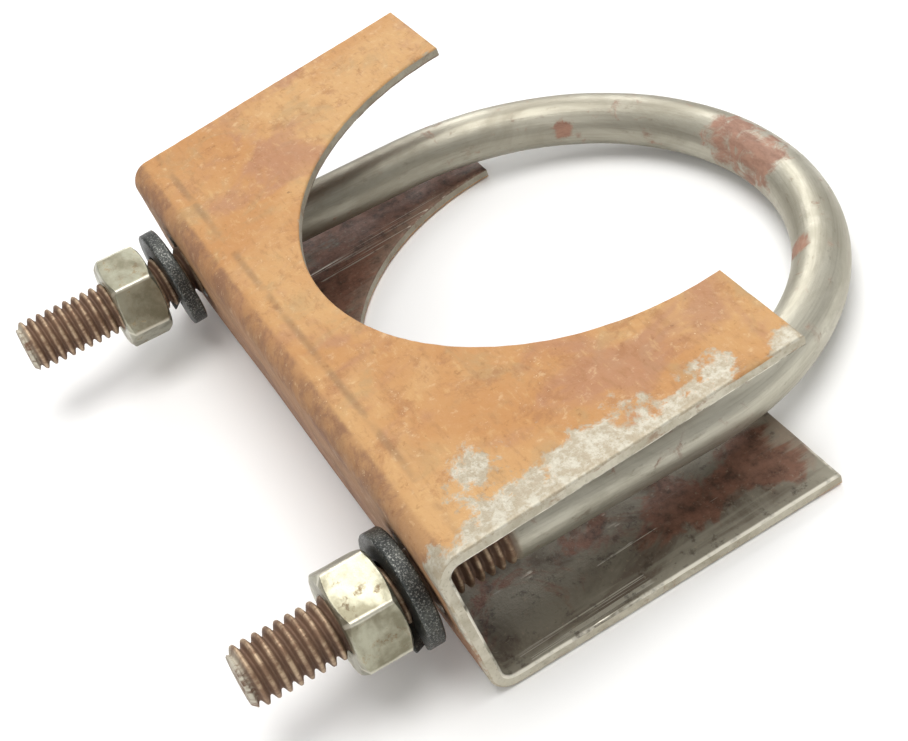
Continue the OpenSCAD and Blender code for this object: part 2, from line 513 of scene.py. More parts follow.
def cut_holes(obj):
    for side in SIDE:
        cutter = hole_cutter(side, obj.data.materials)
        modifier = obj.modifiers.new("hole_" + side, "BOOLEAN")
        modifier.operation = "DIFFERENCE"
        modifier.solver = "EXACT"
        modifier.object = cutter
        bpy.context.view_layer.update()
        result = bpy.data.meshes.new_from_object(obj.evaluated_get(bpy.context.evaluated_depsgraph_get()))
        obj.modifiers.clear()
        obj.data = result
        bpy.data.objects.remove(cutter)


def hole_edge_distance(x, z):
    """Distance on the web from the nearer hole's edge."""
    return abs(sqrt((abs(x) - LEG_X) ** 2 + (z - WEB_H / 2) ** 2) - HOLE_R)


def finish_saddle(obj):
    """Cuts the holes, measures wear attributes and moves the saddle to its place."""
    cut_holes(obj)
    edge, web = [], []
    for v in obj.data.vertices:
        x, y, z = v.co
        on_flange = y > BEND_OUTER_R
        distance = edge_distance(x, y, on_flange)
        if not on_flange:
            distance = min(distance, hole_edge_distance(x, z))
        edge.append(max(0.0, distance) / MM)
        web.append(1 - smoothstep(WEB_FADE, BEND_OUTER_R, y))
    obj.data.transform(WEB_FRAME)
    float_attribute(obj, "edge", edge)
    float_attribute(obj, "web", web)
    obj.data.polygons.foreach_set("use_smooth", [True] * len(obj.data.polygons))
    obj.data.set_sharp_from_angle(angle=radians(SADDLE_SHARP))
    obj.data.update()


# ---- lock washers
WASHER_STEPS = 200
# Rise of the sprung coil over its turn
WASHER_LEAD = 1.1 * MM
WASHER_CORNER = 0.32 * MM
# How much thinner the section is at its rim than at its bore, on each face
WASHER_KEYSTONE = 0.16 * MM
CORNER_STEPS = 4
SECTION_STEP = 0.35 * MM
# Rings next to each cut end, as shares of the turn, and how far each one is pinched in
END_RINGS = [0.0, 0.0004, 0.0015, 0.004]
END_BEVEL = [1.0, 0.55, 0.2, 0.0]
END_PINCH = 0.22 * MM
COIL_END_SHARE = 0.01
WASHER_DENT = 0.035 * MM
WASHER_DENT_SIZE = 1.0 * MM
WASHER_SEED = 11.0
# Share of the section's width from which the painted glints grow towards the rim
RIM_FROM = 0.35


def washer_section():
    """Rounded section of the coil as (radius, height), a little thicker at its bore."""
    inner, outer, low, high = WASHER_BORE_R, WASHER_R, 0.0, WASHER_T
    c = WASHER_CORNER
    corners = [
        (outer - c, high - c, 0, 0), (inner + c, high - c, pi / 2, 1),
        (inner + c, low + c, pi, 1), (outer - c, low + c, 1.5 * pi, 0),
    ]
    points = []
    for radius, height, start, at_bore in corners:
        for a in linspace(start, start + pi / 2, CORNER_STEPS):
            shrink = 1 - (0 if at_bore else WASHER_KEYSTONE / (WASHER_T / 2))
            z = height + c * sin(a) - WASHER_T / 2
            points.append((radius + c * cos(a), WASHER_T / 2 + z * shrink))
    dense = []
    for i, (r, h) in enumerate(points):
        r2, h2 = points[(i + 1) % len(points)]
        parts = max(1, int(sqrt((r2 - r) ** 2 + (h2 - h) ** 2) / SECTION_STEP))
        dense += [(r + (r2 - r) * j / parts, h + (h2 - h) * j / parts) for j in range(parts)]
    return dense


def build_washer(side):
    """A split ring swept round the leg as one turn of a helix, with bevelled ends."""
    section = washer_section()
    width = WASHER_R - WASHER_BORE_R
    mid_r = (WASHER_R + WASHER_BORE_R) / 2
    half_gap = SPLIT_W / 2 / cos(SPLIT_SLANT)
    coil = linspace(COIL_END_SHARE, 1 - COIL_END_SHARE, WASHER_STEPS)
    shares = END_RINGS + coil + [1 - s for s in reversed(END_RINGS)]
    verts, rim, faces = [], [], []
    for i, share in enumerate(shares):
        from_end = min(i, len(shares) - 1 - i)
        pinch = END_PINCH * (END_BEVEL[from_end] if from_end < len(END_BEVEL) else 0)
        lift = WASHER_LEAD * (share - 0.5)
        for r, h in section:
            slant = (h - WASHER_T / 2) * tan(SPLIT_SLANT)
            start = (half_gap + slant) / r
            finish = 2 * pi - (half_gap - slant) / r
            angle = start + (finish - start) * share
            rr = r + pinch * (mid_r - r) / width * 2
            hh = h + pinch * (WASHER_T / 2 - h) / WASHER_T * 2 + lift
            x, y = rr * cos(angle), rr * sin(angle)
            rr += WASHER_DENT * rough(x, y, hh, WASHER_DENT_SIZE, seed=WASHER_SEED + SIDE[side])
            verts.append((rr * cos(angle), rr * sin(angle), hh - WASHER_T / 2))
            rim.append(smoothstep(RIM_FROM, 1.0, (r - WASHER_BORE_R) / width))
    n = len(section)
    for i in range(len(shares) - 1):
        here, there = i * n, (i + 1) * n
        for k in range(n):
            j = (k + 1) % n
            faces.append((here + k, here + j, there + j, there + k))
    faces.append(tuple(range(n)))
    faces.append(tuple(range(len(verts) - n, len(verts))))
    middle = Matrix.Translation((0, 0, WASHER_AT[side] + WASHER_T / 2))
    tilt = Matrix.Rotation(WASHER_TILT[side], 4, "X")
    turned = leg_frame(side) @ middle @ tilt @ Matrix.Rotation(SPLIT_TURN[side], 4, "Z")
    obj = mesh_object(side + "_lock_washer", verts, faces, turned)
    float_attribute(obj, "rim", rim)
    clean(obj, sharp_degrees=40)
    return obj


# ---- hexagon nuts
NUT_CORNER_ROUND = 0.45 * MM
# Columns of vertices beside each corner, in degrees from it
NUT_SECTOR = [0.4, 0.9, 1.4, 2.0, 3.0, 4.5, 7.0, 11.0, 16.0, 22.0, 27.0]
NUT_CHAMFER = radians(30)
# Half the angle between two corners
HEX_HALF = radians(30)
NUT_BORE_GAP = 0.07 * MM
BORE_ROWS_PER_PITCH = 9
# Depth of the countersink at each end of the bore, and its growth in radius per depth
COUNTERSINK = 0.75 * MM
COUNTERSINK_SLOPE = 1.5
# Softness of the edge between the chamfer and the flats, and the drop at the face's rim
CHAMFER_SOFT = 0.08 * MM
FACE_DROP = 0.02 * MM
# Rows over the face, the chamfer and the flats, as shares of each
FACE_ROWS = [0.25, 0.5, 0.75, 0.93]
CHAMFER_ROWS = [0.3, 0.6, 0.88]
FLAT_ROWS = [0.2, 0.4, 0.6, 0.8]
# Unevenness of the nuts' outside, which fades towards the bore
NUT_UNEVEN = 0.045 * MM
NUT_UNEVEN_SIZE = 2.6 * MM
NUT_SEED = 4.0
OUTSIDE_FROM = 0.7
# Reach of the rubbed steel beside a corner and below a face, and its strength at the faces
CORNER_WEAR = radians(7)
END_WEAR_FROM = 0.2 * MM
END_WEAR_TO = 1.2 * MM
END_WEAR = 0.6


def hex_radius(from_corner):
    """Radius of the rounded hexagon at an angle from its nearest corner."""
    centre = (NUT_AF / 2 - NUT_CORNER_ROUND) / cos(HEX_HALF)
    tangent = atan(NUT_CORNER_ROUND * sin(HEX_HALF) / (centre + NUT_CORNER_ROUND * cos(HEX_HALF)))
    if abs(from_corner) < tangent:
        return centre * cos(from_corner) + sqrt(NUT_CORNER_ROUND**2 - (centre * sin(from_corner)) ** 2)
    return NUT_AF / 2 / cos(HEX_HALF - abs(from_corner))


def nut_profile(z0, from_corner, theta):
    """(radius, height) from the bore's middle round the outer face and back, at one angle of the nut."""
    outer = hex_radius(from_corner)
    chamfer = (outer - NUT_FACE_R) * tan(NUT_CHAMFER)
    bore_rows = linspace(0, NUT_H, int(NUT_H / PITCH * BORE_ROWS_PER_PITCH))

    def bore(h):
        depth = THREAD_DEPTH * (1 - thread_height(z0 + h, theta))
        sink = max(0.0, COUNTERSINK - min(h, NUT_H - h))
        return max(ROD_R + NUT_BORE_GAP - depth, ROD_R - THREAD_DEPTH + sink * COUNTERSINK_SLOPE)

    inside = [(bore(h), h) for h in bore_rows]
    bore_edge = inside[-1][0]
    rim_h = NUT_H - FACE_DROP
    flat_top = NUT_H - chamfer - CHAMFER_SOFT * 1.6
    upper = [(bore_edge + (NUT_FACE_R - bore_edge) * s, NUT_H) for s in FACE_ROWS]
    upper += [(NUT_FACE_R, rim_h)]
    upper += [(NUT_FACE_R + (outer - NUT_FACE_R) * s, rim_h - chamfer * s) for s in CHAMFER_ROWS]
    upper += [(outer - FACE_DROP / 2, NUT_H - chamfer - CHAMFER_SOFT * 0.5), (outer, flat_top)]
    wall = [(outer, flat_top - (2 * flat_top - NUT_H) * s) for s in FLAT_ROWS]
    lower = [(r, NUT_H - h) for r, h in reversed(upper)]
    return inside + upper + wall + lower


def nut_angles():
    """Degrees round the nut at which it has a column of vertices, closer near the corners."""
    angles = []
    for corner in range(0, 360, 60):
        angles += [corner + sign * a for sign in (-1, 1) for a in NUT_SECTOR] + [corner, corner + 30]
    return sorted(a % 360 for a in angles)


def build_nut(side):
    """A hexagon nut with a threaded bore, standing at its place on the leg."""
    z0 = NUT_AT[side]
    angles = nut_angles()
    verts, faces, wear = [], [], []
    for a in angles:
        from_corner = radians((a + 30) % 60 - 30)
        theta = radians(a) + NUT_TURN[side]
        for r, h in nut_profile(z0, from_corner, theta):
            x, y = r * cos(theta), r * sin(theta)
            outside = smoothstep(NUT_FACE_R * OUTSIDE_FROM, NUT_FACE_R, r)
            shift = NUT_UNEVEN * rough(x, y, h, NUT_UNEVEN_SIZE, seed=NUT_SEED + SIDE[side]) * outside
            verts.append((x * (1 + shift / r), y * (1 + shift / r), z0 + h))
            corner = 1 - smoothstep(0, CORNER_WEAR, abs(from_corner))
            ends = 1 - smoothstep(END_WEAR_FROM, END_WEAR_TO, min(h, NUT_H - h))
            wear.append(max(corner, ends * END_WEAR) * outside)
    n = len(verts) // len(angles)
    for i in range(len(angles)):
        here, there = i * n, (i + 1) % len(angles) * n
        for k in range(n):
            m = (k + 1) % n
            faces.append((here + k, there + k, there + m, here + m))
    obj = mesh_object(side + "_hex_nut", verts, faces, leg_frame(side))
    float_attribute(obj, "wear", wear)
    clean(obj, sharp_degrees=28)
    return obj


# ---- materials
def srgb(red, green, blue):
    """Linear colour from the usual 0-255 values."""
    def linear(c):
        c = c / 255
        return c / 12.92 if c <= 0.04045 else ((c + 0.055) / 1.055) ** 2.4
    return (linear(red), linear(green), linear(blue), 1.0)


class Surface:
    """Builds one procedural material around a Principled shader, in object coordinates counted in mm."""

    def __init__(self, name, coords=None):
        self.material = bpy.data.materials.new(name)
        self.material.use_nodes = True
        self.tree = self.material.node_tree
        self.tree.nodes.clear()
        output = self.tree.nodes.new("ShaderNodeOutputMaterial")
        self.shader = self.tree.nodes.new("ShaderNodeBsdfPrincipled")
        self.tree.links.new(self.shader.outputs["BSDF"], output.inputs["Surface"])
        texture = self.tree.nodes.new("ShaderNodeTexCoord")
        self.objects = self.in_mm(texture.outputs["Object"])
        self.coords = self.in_mm(self.attribute(coords, "Vector")) if coords else self.objects

    def in_mm(self, vector):
        node = self.tree.nodes.new("ShaderNodeVectorMath")
        node.operation = "SCALE"
        node.inputs["Scale"].default_value = 1 / MM
        self.tree.links.new(vector, node.inputs[0])
        return node.outputs[0]

    def put(self, socket, value):
        if isinstance(value, bpy.types.NodeSocket):
            self.tree.links.new(value, socket)
        else:
            socket.default_value = value

    def attribute(self, name, output="Fac"):
        node = self.tree.nodes.new("ShaderNodeAttribute")
        node.attribute_name = name
        return node.outputs[output]

    def noise(self, size, detail=3.0, roughness=0.55, distortion=0.0, stretch=(1, 1, 1), seed=0.0):
        """Noise whose features have about this size in mm, drawn out along axes with a stretch above 1."""
        mapping = self.tree.nodes.new("ShaderNodeMapping")
        mapping.inputs["Scale"].default_value = [1 / (size * s) for s in stretch]
        mapping.inputs["Location"].default_value = (seed * 7.3, seed * 3.1, seed * 5.7)
        self.put(mapping.inputs["Vector"], self.coords)
        node = self.tree.nodes.new("ShaderNodeTexNoise")
        node.inputs["Scale"].default_value = 1.0
        node.inputs["Detail"].default_value = detail
        node.inputs["Roughness"].default_value = roughness
        node.inputs["Distortion"].default_value = distortion
        self.put(node.inputs["Vector"], mapping.outputs[0])
        return node.outputs["Fac"]

    def step(self, value, low, high, to_low=0.0, to_high=1.0):
        """Smooth step of a value between two thresholds."""
        node = self.tree.nodes.new("ShaderNodeMapRange")
        node.interpolation_type = "SMOOTHSTEP"
        node.inputs["From Min"].default_value = low
        node.inputs["From Max"].default_value = high
        node.inputs["To Min"].default_value = to_low
        node.inputs["To Max"].default_value = to_high
        self.put(node.inputs["Value"], value)
        return node.outputs["Result"]

    def math(self, operation, a, b=0.0):
        node = self.tree.nodes.new("ShaderNodeMath")
        node.operation = operation
        self.put(node.inputs[0], a)
        self.put(node.inputs[1], b)
        return node.outputs[0]

    def times(self, a, b):
        return self.math("MULTIPLY", a, b)

    def plus(self, a, b):
        return self.math("ADD", a, b)

    def minus(self, a, b):
        return self.math("SUBTRACT", a, b)

    def larger(self, a, b):
        return self.math("MAXIMUM", a, b)

    def apart(self, value, place):
        """How far a value is from a place, either way."""
        return self.math("ABSOLUTE", self.minus(value, place))

    def centred(self, value, size):
        """A 0 to 1 noise turned into one of this size about 0."""
        return self.times(self.minus(value, 0.5), size)

    def mixed(self, data_type, factor, a, b):
        node = self.tree.nodes.new("ShaderNodeMix")
        node.data_type = data_type
        self.put(node.inputs["Factor"], factor)
        self.put(node.inputs["A"], a)
        self.put(node.inputs["B"], b)
        return node.outputs["Result"]

    def mix(self, factor, a, b):
        """Colour a towards colour b."""
        return self.mixed("RGBA", factor, a, b)

    def blend(self, factor, a, b):
        """Number a towards number b."""
        return self.mixed("FLOAT", factor, a, b)

    def axis(self, name, vector=None):
        node = self.tree.nodes.new("ShaderNodeSeparateXYZ")
        self.put(node.inputs[0], vector or self.coords)
        return node.outputs[name]

    def distance(self, point):
        """Distance in mm from a point of the object's frame."""
        node = self.tree.nodes.new("ShaderNodeVectorMath")
        node.operation = "DISTANCE"
        self.put(node.inputs[0], self.objects)
        node.inputs[1].default_value = point
        return node.outputs["Value"]

    def bump(self, height, depth, normal=None):
        """Bump of the given depth in mm for a height of 0 to 1."""
        node = self.tree.nodes.new("ShaderNodeBump")
        node.inputs["Strength"].default_value = 1.0
        node.inputs["Distance"].default_value = depth * MM
        self.put(node.inputs["Height"], height)
        if normal is not None:
            self.put(node.inputs["Normal"], normal)
        return node.outputs["Normal"]

    def finish(self, colour, roughness, metallic=0.0, normal=None, specular=None):
        self.put(self.shader.inputs["Base Color"], colour)
        self.put(self.shader.inputs["Roughness"], roughness)
        self.put(self.shader.inputs["Metallic"], metallic)
        if normal is not None:
            self.put(self.shader.inputs["Normal"], normal)
        if specular is not None:
            self.shader.inputs["Specular IOR Level"].default_value = specular
        return self.material


# Where the rust on top of the right arm is rubbed off, in mm in the object's frame
WORN_FROM_X = 45.2
WORN_SPOT = (41.9, -37.5, 12.8)
WORN_SPOT_R = 3.5
# Middle of the pinker rust near the right arm's tip
PINK_ARM = (44.0, -12.0, 12.0)
# Y of the faint crease that runs beside the upper bend
CREASE_Y = -43.1


def rubbed_bare(s, fleck):
    """1 where the sheet is bare: a ragged strip by the right end, a spot beside it, and the sheared edges."""
    narrowing = s.times(s.larger(s.plus(s.axis("Y"), 31), 0.0), 0.2)
    reach = s.minus(s.minus(s.axis("X"), narrowing), WORN_FROM_X)
    reach = s.minus(reach, s.step(s.axis("Y"), -41, -47, 0, 3.5))
    reach = s.plus(reach, s.centred(s.noise(7, 2, 0.5, seed=10.0), 12.0))
    reach = s.larger(reach, s.minus(WORN_SPOT_R, s.distance(WORN_SPOT)))
    reach = s.larger(reach, s.step(s.attribute("edge"), 1.0, 0.0, -6, -1.5))
    ragged = s.times(s.minus(s.noise(5, 6, 0.7, 0.2, seed=6.0), 0.52), 17.0)
    ragged = s.plus(ragged, s.centred(fleck, 6.0))
    return s.step(s.plus(reach, ragged), -0.8, 1.4)


def rusty_outside():
    """Flash rust over the saddle's outside, rubbed down to grey steel near the right end and on the edges."""
    s = Surface("rust_outside")
    cloud = s.noise(24, 4, 0.6, 0.5, seed=1.0)
    patch = s.noise(8, 5, 0.65, 0.8, seed=2.0)
    fleck = s.noise(1.5, 4, 0.7, seed=3.0)
    grain = s.noise(0.4, 3, 0.7, seed=4.0)
    brown = s.noise(5.5, 6, 0.72, 0.3, seed=9.0)
    rolled = s.noise(0.9, 4, 0.65, seed=7.0, stretch=(3, 1, 1))
    pinkish = s.noise(13, 4, 0.6, 0.6, seed=5.0)
    pinkish = s.plus(pinkish, s.step(s.distance(PINK_ARM), 22, 5, 0, 0.08))
    web = s.attribute("web")
    height = s.axis("Z")

    # Ochre clouds with greyer, pinker and browner patches, over the fine grain of rolled sheet
    colour = s.mix(s.step(cloud, 0.36, 0.64), srgb(196, 154, 104), srgb(184, 134, 84))
    colour = s.mix(s.step(patch, 0.50, 0.68, 0, 0.6), colour, srgb(172, 142, 100))
    colour = s.mix(s.step(pinkish, 0.52, 0.68, 0, 0.65), colour, srgb(166, 120, 94))
    colour = s.mix(s.step(rolled, 0.52, 0.70, 0, 0.36), colour, srgb(152, 110, 70))
    colour = s.mix(s.step(rolled, 0.44, 0.30, 0, 0.28), colour, srgb(210, 176, 124))
    colour = s.mix(s.step(brown, 0.53, 0.66, 0, 0.55), colour, srgb(156, 108, 70))

    # Painted shade darkening the web downwards, and scuffs along the upper bend and the crease beside it
    web_painted_shade = s.mix(s.step(patch, 0.4, 0.66), srgb(150, 112, 86), srgb(122, 88, 68))
    # Painted shade: the web mixes to a darker colour, most towards its bottom
    colour = s.mix(s.times(web, s.blend(s.step(height, 11, -8), 0.45, 0.95)), colour, web_painted_shade)
    bend_line = s.times(s.step(web, 0.02, 0.3), s.step(height, 3, 9))
    scuffed = s.times(bend_line, s.step(brown, 0.42, 0.60))
    creased = s.times(s.step(s.apart(s.axis("Y"), CREASE_Y), 0.8, 0.1), s.step(pinkish, 0.40, 0.56))
    colour = s.mix(s.times(bend_line, 0.4), colour, srgb(160, 118, 82))
    colour = s.mix(s.times(scuffed, 0.7), colour, srgb(132, 96, 74))
    colour = s.mix(s.times(creased, s.step(height, 8, 10, 0, 0.5)), colour, srgb(132, 104, 74))

    # Dark and light flecks, pits, and bright specks painted in as highlights for glints
    pits = s.step(s.noise(2.6, 5, 0.75, seed=8.0), 0.68, 0.74)
    # Painted highlights: small bright specks that stand for glints off the grain
    painted_glint_specks = s.times(s.step(grain, 0.66, 0.74), s.step(brown, 0.46, 0.56))
    colour = s.mix(s.step(fleck, 0.60, 0.74, 0, 0.5), colour, srgb(136, 92, 58))
    colour = s.mix(s.step(fleck, 0.42, 0.27, 0, 0.45), colour, srgb(214, 182, 138))
    colour = s.mix(s.times(pits, 0.6), colour, srgb(96, 72, 54))
    colour = s.mix(s.times(painted_glint_specks, 0.7), colour, srgb(236, 216, 178))

    # Bare steel where the rust is rubbed off
    bare = rubbed_bare(s, fleck)
    steel = s.mix(s.step(fleck, 0.35, 0.62), srgb(196, 191, 175), srgb(170, 158, 136))
    steel = s.mix(s.step(grain, 0.55, 0.75, 0, 0.5), steel, srgb(142, 124, 98))
    colour = s.mix(bare, colour, steel)
    roughness = s.blend(bare, s.step(fleck, 0.3, 0.7, 0.6, 0.8), s.step(grain, 0.3, 0.7, 0.38, 0.55))
    normal = s.bump(grain, 0.045)
    normal = s.bump(s.plus(fleck, s.times(s.plus(bare, pits), -0.4)), 0.11, normal)
    normal = s.bump(rolled, 0.03, normal)
    return s.finish(colour, roughness, s.times(bare, 0.3), normal, 0.35)


# Bright draw marks on the inside: middle and half-width across, middle and half-length along, in mm
DRAW_MARKS = [(50.2, 2.1, -34, 12), (-34.6, 3.2, -21, 18), (45.0, 1.2, -24, 7)]
# Middle of the rust near the tip of the lower right arm
RUSTY_TIP = (44.5, -1.0, -10.3)


def rust_share(s, edge):
    """How rusty the inside is: more to the left and towards the arms' tips, less by the right end's edge."""
    rusty = s.plus(s.noise(9, 5, 0.65, 0.7, seed=13.0), s.step(s.axis("Y"), -34, -4, 0.0, 0.09))
    rusty = s.plus(rusty, s.step(s.axis("X"), 5, -20, 0, 0.14))
    rusty = s.plus(rusty, s.step(s.distance(RUSTY_TIP), 9.0, 3.0, 0, 0.2))
    clean_edge = s.times(s.step(edge, 7.0, 1.5, 0, 0.12), s.step(s.axis("X"), 0, 30))
    return s.step(s.minus(rusty, clean_edge), 0.50, 0.62, 0, 0.9)


def draw_marks(s, draw, broken):
    """1 on the bright lines that the press left along the channel."""
    likely = s.plus(broken, -0.12)
    for x, width, y, length in DRAW_MARKS:
        across = s.step(s.apart(s.axis("X"), x), width, width * 0.4)
        along = s.step(s.apart(s.axis("Y"), y), length, length * 0.5)
        likely = s.plus(likely, s.times(s.times(across, along), 0.32))
    return s.times(s.step(draw, 0.54, 0.64), s.step(likely, 0.50, 0.60))


def dark_inside():
    """Inside of the channel: dark scale and brown rust with long bright draw marks."""
    s = Surface("scale_inside")
    cloud = s.noise(11, 5, 0.65, 0.6, seed=11.0)
    fleck = s.noise(1.8, 4, 0.7, seed=16.0)
    grain = s.noise(0.55, 3, 0.7, seed=12.0)
    drawn = s.noise(1.6, 3, 0.6, seed=17.0, stretch=(1, 14, 1))
    draw = s.noise(0.38, 2, 0.6, seed=14.0, stretch=(1, 90, 1))
    broken = s.noise(6, 3, 0.6, seed=15.0)
    edge = s.attribute("edge")

    # Dark scale, brown rust and a greyer rim
    colour = s.mix(s.step(cloud, 0.38, 0.62), srgb(132, 126, 111), srgb(98, 87, 74))
    colour = s.mix(s.step(drawn, 0.5, 0.72, 0, 0.3), colour, srgb(130, 124, 108))
    brown = s.mix(s.step(fleck, 0.35, 0.65), srgb(132, 92, 74), srgb(98, 66, 52))
    colour = s.mix(rust_share(s, edge), colour, brown)
    rim = s.plus(s.step(edge, 4.5, 0.3, 0, 0.5), s.centred(drawn, 1.6))
    rim = s.times(s.step(rim, 0.2, 0.5), s.step(s.axis("X"), 5, 35, 0.2, 0.6))
    colour = s.mix(rim, colour, srgb(150, 146, 130))

    # Draw marks, dark flecks, pale grains and a broken bright burr along the right end
    marks = draw_marks(s, draw, broken)
    burr = s.times(s.step(edge, 0.42, 0.15), s.step(s.axis("X"), 44, 50))
    burr = s.times(burr, s.step(s.plus(broken, s.times(fleck, 0.5)), 0.9, 0.66))
    colour = s.mix(s.times(marks, 0.8), colour, srgb(222, 218, 204))
    colour = s.mix(s.step(fleck, 0.54, 0.70, 0, 0.65), colour, srgb(60, 48, 39))
    colour = s.mix(s.step(grain, 0.58, 0.74, 0, 0.5), colour, srgb(154, 142, 122))
    colour = s.mix(burr, colour, srgb(226, 221, 206))
    roughness = s.blend(marks, s.step(cloud, 0.3, 0.7, 0.5, 0.75), 0.32)
    normal = s.bump(grain, 0.05)
    normal = s.bump(fleck, 0.06, normal)
    normal = s.bump(draw, 0.03, normal)
    return s.finish(colour, roughness, s.blend(marks, 0.15, 0.7), normal, 0.4)


def sheared_edge():
    """Bare sheared edge: light grey steel, finely grained, with a little brown, darker away from the right
    end.
    """
    s = Surface("sheared_edge")
    grain = s.noise(0.4, 3, 0.7, seed=21.0)
    tone = s.noise(5, 4, 0.65, 0.4, seed=23.0)
    stain = s.noise(3.4, 5, 0.7, 0.4, seed=22.0)
    colour = s.mix(s.step(tone, 0.36, 0.64), srgb(200, 194, 176), srgb(170, 162, 142))
    colour = s.mix(s.step(grain, 0.55, 0.75, 0, 0.55), colour, srgb(134, 126, 106))
    colour = s.mix(s.step(stain, 0.54, 0.66, 0, 0.75), colour, srgb(138, 108, 80))
    colour = s.mix(s.step(s.axis("X"), 44, 34, 0, 0.45), colour, srgb(108, 98, 84))
    roughness = s.step(grain, 0.3, 0.7, 0.38, 0.55)
    return s.finish(colour, roughness, s.step(stain, 0.5, 0.7, 0.45, 0.1), s.bump(grain, 0.06))


# Middle (mm, in the object's frame) and size of the rust patches on the rod's bend
ROD_RUST = [
    ((-4.5, 28.2, -4.8), 8.0),
    ((2, 27.6, -5), 7.0),
    ((-28.8, 12.5, -5.7), 2.1),
    ((22.2, 19.6, -3.9), 2.8),
]


def rod_rust(s, fleck):
    """1 in the middle of the rod's rust patches, ragged and faint at their rims."""
    patches = 0.0
    for centre, size in ROD_RUST:
        patches = s.larger(s.step(s.distance(centre), size, size * 0.3, 0, 0.30), patches)
    blotch = s.plus(s.noise(3.6, 5, 0.68, 0.8, seed=34.0), patches)
    return s.step(s.plus(blotch, s.centred(fleck, 0.3)), 0.58, 0.80)


def rod_steel():
    """Drawn steel rod: satin grey with fine draw lines, rust patches at the bend and brown rusty threads."""
    s = Surface("rod_steel", "rodmap")
    draw = s.noise(0.3, 3, 0.6, seed=31.0, stretch=(1, 1, 30))
    cloud = s.noise(7, 5, 0.65, 0.6, seed=32.0, stretch=(1, 1, 2.0))
    fleck = s.noise(1.3, 4, 0.7, seed=35.0, stretch=(1, 1, 2.5))
    grain = s.noise(0.35, 3, 0.7, seed=33.0)
    threaded = s.attribute("threaded")
    crest = s.attribute("crest")

    # Grey steel with painted shade darkening it towards the left leg, and rust on the bend
    rust = rod_rust(s, fleck)
    rust_colour = s.mix(s.step(fleck, 0.3, 0.7), srgb(168, 122, 100), srgb(136, 92, 73))
    colour = s.mix(s.step(cloud, 0.35, 0.66), srgb(198, 194, 178), srgb(172, 167, 150))
    colour = s.mix(s.step(draw, 0.45, 0.7, 0, 0.25), colour, srgb(134, 127, 110))
    colour = s.mix(s.step(fleck, 0.58, 0.74, 0, 0.45), colour, srgb(122, 110, 92))
    # Painted shade: the steel darkens towards the left leg
    colour = s.mix(s.step(s.axis("X", s.objects), 12, -26, 0, 0.45), colour, srgb(118, 112, 98))
    colour = s.mix(s.times(rust, 0.85), colour, rust_colour)

    # Brown threads, paler on their crests from rubbing and from a painted highlight, and bright steel at the
    # tips
    valley = s.mix(s.step(cloud, 0.35, 0.65), srgb(104, 80, 64), srgb(126, 98, 78))
    # Partly painted highlight: the crests' paler colour also stands for light caught on them
    ridge = s.mix(s.step(fleck, 0.36, 0.6), srgb(186, 162, 134), srgb(132, 104, 82))
    thread_colour = s.mix(s.step(crest, 0.5, 1.0), valley, ridge)
    thread_colour = s.mix(s.step(grain, 0.6, 0.8, 0, 0.5), thread_colour, srgb(86, 60, 46))
    colour = s.mix(threaded, colour, thread_colour)
    bright_tip = s.times(s.attribute("tip"), s.step(fleck, 0.62, 0.42))
    colour = s.mix(s.times(bright_tip, 0.85), colour, srgb(206, 200, 182))
    dull = s.larger(rust, s.times(threaded, s.step(crest, 1.05, 0.75)))
    roughness = s.blend(dull, s.step(cloud, 0.3, 0.7, 0.39, 0.51), 0.7)
    metallic = s.blend(dull, 0.68, 0.1)
    normal = s.bump(draw, 0.014)
    normal = s.bump(grain, 0.03, normal)
    normal = s.bump(s.plus(fleck, rust), 0.04, normal)
    return s.finish(colour, roughness, metallic, normal)


def nut_zinc():
    """Dulled zinc on the nuts: greenish grey with bright rubbed corners and yellow-brown stains."""
    s = Surface("nut_zinc")
    cloud = s.noise(5.0, 4, 0.6, 0.2, seed=41.0)
    grain = s.noise(0.32, 3, 0.7, seed=42.0)
    stain = s.noise(2.6, 6, 0.8, 0.1, seed=43.0)
    colour = s.mix(s.step(cloud, 0.36, 0.64), srgb(172, 170, 150), srgb(126, 121, 100))
    stained = s.step(stain, 0.55, 0.66)
    stain_colour = s.mix(s.step(cloud, 0.4, 0.6), srgb(146, 116, 68), srgb(108, 84, 54))
    colour = s.mix(s.times(stained, 0.7), colour, stain_colour)
    colour = s.mix(s.step(grain, 0.62, 0.78, 0, 0.5), colour, srgb(88, 82, 66))
    wear = s.plus(s.attribute("wear"), s.centred(stain, 0.8))
    colour = s.mix(s.step(wear, 0.5, 0.95, 0, 0.75), colour, srgb(216, 212, 196))
    roughness = s.blend(stained, s.step(cloud, 0.3, 0.7, 0.28, 0.4), 0.6)
    normal = s.bump(grain, 0.02)
    normal = s.bump(stain, 0.06, normal)
    return s.finish(colour, roughness, s.blend(stained, 0.7, 0.25), normal)


def washer_steel():
    """Blackened spring steel with bright specks painted in as glints, most at the rim."""
    s = Surface("washer_steel")
    grain = s.noise(0.26, 4, 0.75, seed=51.0)
    cloud = s.noise(3, 3, 0.6, seed=52.0)
    rim = s.attribute("rim")
    colour = s.mix(s.step(cloud, 0.35, 0.7), srgb(48, 50, 49), srgb(78, 80, 76))
    # Painted highlights: bright specks that stand for glints, most at the rim
    painted_rim_specks = s.times(s.step(grain, 0.50, 0.66), s.blend(rim, 0.1, 0.75))
    colour = s.mix(painted_rim_specks, colour, srgb(160, 160, 154))
    roughness = s.blend(painted_rim_specks, s.step(cloud, 0.3, 0.7, 0.36, 0.5), 0.28)
    return s.finish(colour, roughness, 0.65, s.bump(grain, 0.05))


def floor_paper():
    s = Surface("floor_paper")
    tone = s.noise(60, 2, 0.5, seed=61.0)
    colour = s.mix(tone, (0.93, 0.93, 0.925, 1), (0.95, 0.95, 0.945, 1))
    return s.finish(colour, 0.85, specular=0.1)


# ---- the pieces on their bodies
def add_piece(piece, materials, body, node):
    for material in materials:
        piece.data.materials.append(material)
    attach(piece, body)
    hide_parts(node)


